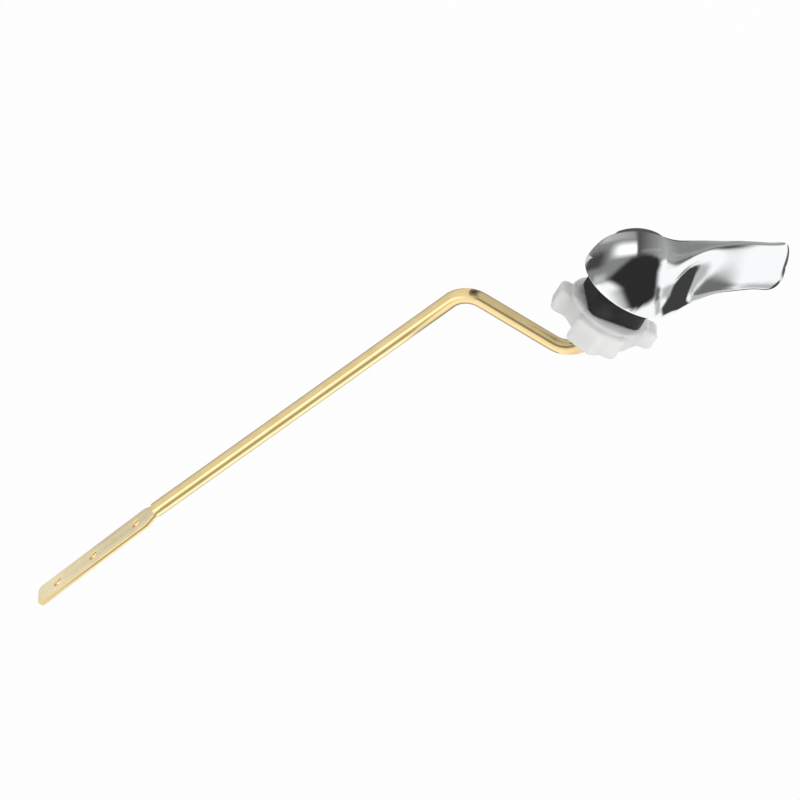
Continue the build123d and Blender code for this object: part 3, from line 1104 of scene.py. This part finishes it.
# name, sphere, outline, brightness of the painted reflection (mostly dark), width of the soft edge in degrees
PAINTED_REFLECTION_FLAGS = (
    ("core", HUB_SPHERE, (
        (-60, 0), (-36, 22), (-14, 40), (13, 47), (34, 46), (51, 38), (56, 24), (49, 6), (47, -16), (47, -36),
        (41, -48), (28, -56), (8, -62), (-6, -64), (-27, -24)), 0.027, 14),
    ("back", HUB_SPHERE, ((-60, 126), (0, 124), (80, 120), (60, 168), (-50, 168)), 0.09, 8),
    ("blade_top", FAR_SPHERE, ((30, 34), (54, 26), (100, 70), (100, 126), (30, 126)), 0.26, 10),
    ("tip", FAR_SPHERE, ((78, -18), (130, -30), (130, 50), (88, 30)), 0.12, 10),
    ("edge_low", TIP_SPHERE, ((44, -60), (64, -56), (96, -64), (90, -120), (42, -126)), 0.36, 14),
    ("root_grey", ROOT_SPHERE, (
        (18, -28), (28, -20), (33, -28), (32, -42), (35, -52), (31, -62), (20, -60)), 0.16, 9),
    ("root_rim", ROOT_SPHERE, ((22, -56), (37, -56), (39, -94), (22, -94)), 0.5, 10),
    ("root_low", ROOT_SPHERE, (
        (38, -30), (50, -24), (76, -30), (76, -52), (58, -58), (42, -58), (38, -46)), 0.5, 17),
    ("root_dark", ROOT_SPHERE, (
        (80, -22), (71, -34), (70, -50), (70, -62), (58, -72), (42, -84), (42, -112), (70, -126), (100, -100),
        (112, -70), (114, -38), (98, -22)), 0.05, 11),
)
# angle around the rod from the view's side, brightness of the painted reflection there
LIFT_PAINTED_REFLECTION_TONES = (
    (-160, 0.35), (-132, 0.4), (-114, 0.8), (-44, 0.95), (-33, 0.9), (-28, 0.65), (-23, 0.95), (-15, 1.6),
    (8, 1.6), (26, 0.55), (44, 0.45), (60, 0.55), (76, 1.5), (114, 1.6), (132, 0.6), (160, 0.35))
# the same for the crank: brightness of its painted reflection strips
CRANK_PAINTED_REFLECTION_TONES = (
    (-160, 0.3), (-134, 0.3), (-122, 0.62), (-20, 0.7), (-6, 0.62), (4, 0.25), (18, 0.22), (28, 0.9),
    (44, 1.15), (96, 1.3), (114, 1.0), (130, 0.35), (160, 0.3))
# share of a tunnel's length and its cover there
TUNNEL_COVER = ((0.0, 0.0), (0.12, 1.0), (0.88, 1.0), (1.0, 0.0))
LIFT_TUNNEL_RADIUS = 60.0
# lengths before the bend and beyond the tip
LIFT_TUNNEL_ENDS = (5.0, 30.0)
CRANK_TUNNEL_RADIUS = 36.0
# shares of the crank's length
CRANK_TUNNEL_SPAN = (-0.15, 1.1)


def card_direction(right_angle, up_angle):
    """World direction at angles right of and above the view's line."""
    angle = math.radians(math.hypot(right_angle, up_angle))
    around = math.atan2(up_angle, right_angle)
    outward = VIEW_RIGHT * math.cos(around) + VIEW_UP * math.sin(around)
    return VIEW_BACK * math.cos(angle) + outward * math.sin(angle)


def fade(place, low, high):
    """Cover at a place from 0 to 1 across a card, with smooth fades at its two sides."""
    result = 1.0
    for distance, width in ((place, low), (1 - place, high)):
        if width > 0:
            result *= eased(distance / width)
    return result


def inside_outline(x, y, outline):
    """Distance from a place to an outline, positive inside it."""
    nearest, inside = math.inf, False
    for (ax, ay), (bx, by) in zip(outline, outline[1:] + outline[:1]):
        run, rise = bx - ax, by - ay
        along = ((x - ax) * run + (y - ay) * rise) / (run * run + rise * rise)
        along = min(max(along, 0.0), 1.0)
        nearest = min(nearest, math.hypot(x - ax - run * along, y - ay - rise * along))
        if (ay > y) != (by > y) and x < ax + run * (y - ay) / rise:
            inside = not inside
    return nearest if inside else -nearest


def painted_reflection_material(name, one_sided):
    """Painted reflection: emits the card's brightness where the card covers, and lets light through
    elsewhere.
    """
    material, tree, _ = new_material(name)
    tree.nodes.clear()
    output = tree.nodes.new("ShaderNodeOutputMaterial")
    mix = tree.nodes.new("ShaderNodeMixShader")
    glow = tree.nodes.new("ShaderNodeEmission")
    clear = tree.nodes.new("ShaderNodeBsdfTransparent")
    cover = attribute(tree, "cover")
    if one_sided:
        back_face = tree.nodes.new("ShaderNodeNewGeometry").outputs["Backfacing"]
        cover = computed(tree, "SUBTRACT", cover, back_face)
    tree.links.new(cover, mix.inputs["Fac"])
    tree.links.new(attribute(tree, "tone"), glow.inputs["Strength"])
    tree.links.new(clear.outputs["BSDF"], mix.inputs[1])
    tree.links.new(glow.outputs["Emission"], mix.inputs[2])
    tree.links.new(mix.outputs["Shader"], output.inputs["Surface"])
    return material


def painted_reflection_object(name, columns, samples, material):
    """Grid of places, cover and tone as a stage piece that only reflections see: a painted reflection."""
    points, cover, tone = zip(*samples)
    faces = []
    for first in range(len(points) - columns):
        if (first + 1) % columns:
            faces.append((first, first + 1, first + columns + 1, first + columns))
    mesh = bpy.data.meshes.new(name)
    mesh.from_pydata([point * MM for point in points], [], faces)
    for label, values in (("cover", cover), ("tone", tone)):
        mesh.attributes.new(label, "FLOAT", "POINT").data.foreach_set("value", values)
    mesh.materials.append(material)
    card = linked(name, mesh)
    card.visible_camera = card.visible_diffuse = card.visible_shadow = False
    card.visible_transmission = card.visible_volume_scatter = False


def make_painted_reflection_card(name, corners, tones, fades, nearer, material):
    """A curved four-cornered card around the hub: a painted bright or dark reflection."""
    centre, distance = HUB_SPHERE
    samples = []
    for j in range(CARD_STEPS + 1):
        v = j / CARD_STEPS
        for i in range(CARD_STEPS + 1):
            u = i / CARD_STEPS
            weights = ((1 - u) * (1 - v), u * (1 - v), u * v, (1 - u) * v)
            x = sum(w * c[0] for w, c in zip(weights, corners))
            y = sum(w * c[1] for w, c in zip(weights, corners))
            cover = fade(u, fades[0], fades[1]) * fade(v, fades[2], fades[3])
            place = centre + card_direction(x, y) * (distance - nearer)
            samples.append((place, cover, tones[0] * (1 - u) + tones[1] * u))
    painted_reflection_object(name, CARD_STEPS + 1, samples, material)


def make_painted_reflection_flag(name, sphere, outline, tone, soft, nearer, material):
    """A curved card of any outline, with a soft edge, on a sphere: a painted reflection, mostly a dark one.
    """
    centre, distance = sphere
    left, right = (pick(x for x, y in outline) for pick in (min, max))
    low, high = (pick(y for x, y in outline) for pick in (min, max))
    columns = int((right - left + 2 * soft) / FLAG_STEP) + 2
    rows = int((high - low + 2 * soft) / FLAG_STEP) + 2
    samples = []
    for j in range(rows):
        y = low - soft + j * FLAG_STEP
        for i in range(columns):
            x = left - soft + i * FLAG_STEP
            cover = eased(0.5 + inside_outline(x, y, outline) / soft)
            samples.append((centre + card_direction(x, y) * (distance - nearer), cover, tone))
    painted_reflection_object(name, columns, samples, material)


def make_painted_reflection_tunnel(name, start, end, radius, tones, material):
    """Painted reflections: bright and dark strips that run along a straight leg of the rod, around it."""
    along = (end - start).normalized()
    front = (VIEW_BACK - along * VIEW_BACK.dot(along)).normalized()
    side = front.cross(along)
    if side.dot(VIEW_UP) > 0:
        # both turn round, which keeps the lit side towards the rod
        side = -side
        start, end = end, start
    angles, values = zip(*tones)
    columns = int((angles[-1] - angles[0]) / TUNNEL_STEP) + 1
    samples = []
    for share, cover in TUNNEL_COVER:
        for i in range(columns):
            angle = angles[0] + i * TUNNEL_STEP
            turn = math.radians(angle)
            place = start.lerp(end, share) + (front * math.cos(turn) + side * math.sin(turn)) * radius
            samples.append((place, cover, float(np.interp(angle, angles, values))))
    painted_reflection_object(name, columns, samples, material)


make_floor()
make_world()
make_camera()
for lamp_values in LAMPS:
    make_lamp(*lamp_values)
# painted reflections: the cards, flags and strips below glow or darken only in reflections
plain_painted_reflection = painted_reflection_material("card", one_sided=False)
strip_painted_reflection = painted_reflection_material("strip", one_sided=True)
for order, (name, corners, tones, fades) in enumerate(PAINTED_REFLECTION_CARDS):
    make_painted_reflection_card("card_" + name, corners, tones, fades, order * CARD_SPACING, plain_painted_reflection)
for order, (name, sphere, outline, tone, soft) in enumerate(PAINTED_REFLECTION_FLAGS, len(PAINTED_REFLECTION_CARDS)):
    make_painted_reflection_flag("flag_" + name, sphere, outline, tone, soft, order * CARD_SPACING, plain_painted_reflection)
first_bend, second_bend, rod_shoulder, rod_along, _, _ = arm_frame()
lift_start = second_bend - rod_along * LIFT_TUNNEL_ENDS[0]
lift_end = rod_shoulder + rod_along * (FLAT_LENGTH + LIFT_TUNNEL_ENDS[1])
make_painted_reflection_tunnel("painted_reflection_strips_lift", lift_start, lift_end, LIFT_TUNNEL_RADIUS, LIFT_PAINTED_REFLECTION_TONES, strip_painted_reflection)
crank_start, crank_end = (first_bend.lerp(second_bend, share) for share in CRANK_TUNNEL_SPAN)
make_painted_reflection_tunnel("painted_reflection_strips_crank", crank_start, crank_end, CRANK_TUNNEL_RADIUS, CRANK_PAINTED_REFLECTION_TONES, strip_painted_reflection)

bpy.context.scene.view_settings.view_transform = "Standard"
